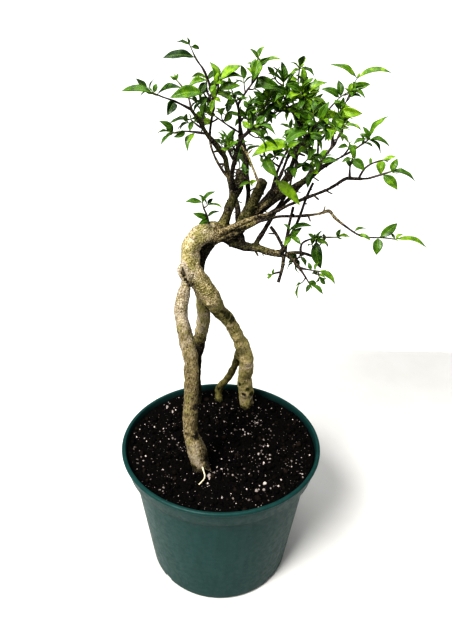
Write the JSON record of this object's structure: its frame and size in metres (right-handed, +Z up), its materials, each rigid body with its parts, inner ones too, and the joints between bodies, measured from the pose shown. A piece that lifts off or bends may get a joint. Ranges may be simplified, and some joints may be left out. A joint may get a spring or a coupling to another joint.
{
  "type": "barbados cherry bonsai",
  "caption": "Barbados cherry bonsai with exposed, twisting roots and small glossy leaves, growing in soil in a round green plastic nursery pot.",
  "frame": {"origin": "centre of the pot's flat foot, on the face that it stands on", "axes": "+Z up along the pot's axis, -Y towards the front that the picture shows, +X to the right of that view"},
  "size_m": [0.27, 0.2172, 0.5173],
  "materials": {
    "pot": "thin satin nursery plastic, dark blue-green",
    "soil": "loose dark peat mix with pale perlite grains",
    "bark": "knobby, lightly ridged bark, pale on the roots and dark on the upper limbs",
    "leaf": "smooth leaf with a soft gloss on thin purplish brown twigs"
  },
  "bodies": {
    "root": {"pot": "pot", "soil": "soil", "trunk_and_roots": "bark", "shoot_back_left_end": "leaf", "shoot_back_left_side": "leaf", "shoot_back_right_end": "leaf", "shoot_back_right_side": "leaf", "shoot_bright_leaf": "leaf", "shoot_centre_bright": "leaf", "shoot_centre_crest": "leaf", "shoot_centre_front": "leaf", "shoot_centre_low": "leaf", "shoot_centre_peak": "leaf", "shoot_centre_top": "leaf", "shoot_fork_back": "leaf", "shoot_fork_end": "leaf", "shoot_fork_up": "leaf", "shoot_front_left_end": "leaf", "shoot_front_left_side": "leaf", "shoot_front_right_end": "leaf", "shoot_front_right_low": "leaf", "shoot_front_right_up": "leaf", "shoot_high_back": "leaf", "shoot_high_end": "leaf", "shoot_high_out": "leaf", "shoot_left_back": "leaf", "shoot_left_base": "leaf", "shoot_left_bright": "leaf", "shoot_left_broad": "leaf", "shoot_left_bud": "leaf", "shoot_left_high": "leaf", "shoot_left_inner": "leaf", "shoot_left_low": "leaf", "shoot_left_low_up": "leaf", "shoot_left_tip": "leaf", "shoot_long_side": "leaf", "shoot_long_tip": "leaf", "shoot_long_up": "leaf", "shoot_low_curl": "leaf", "shoot_low_hang": "leaf", "shoot_low_leaf": "leaf", "shoot_low_out": "leaf", "shoot_low_side": "leaf", "shoot_low_thin": "leaf", "shoot_low_tip_leaves": "leaf", "shoot_middle_left": "leaf", "shoot_middle_side": "leaf", "shoot_middle_top": "leaf", "shoot_right_end": "leaf", "shoot_right_fan": "leaf", "shoot_right_fork_end": "leaf", "shoot_right_fork_side": "leaf", "shoot_right_high": "leaf", "shoot_right_leaf": "leaf", "shoot_right_peak": "leaf", "shoot_right_whorl": "leaf", "shoot_round_leaf": "leaf", "shoot_stump_leaf": "leaf", "shoot_thin_tip": "leaf", "shoot_top_left": "leaf"}
  },
  "joints": []
}
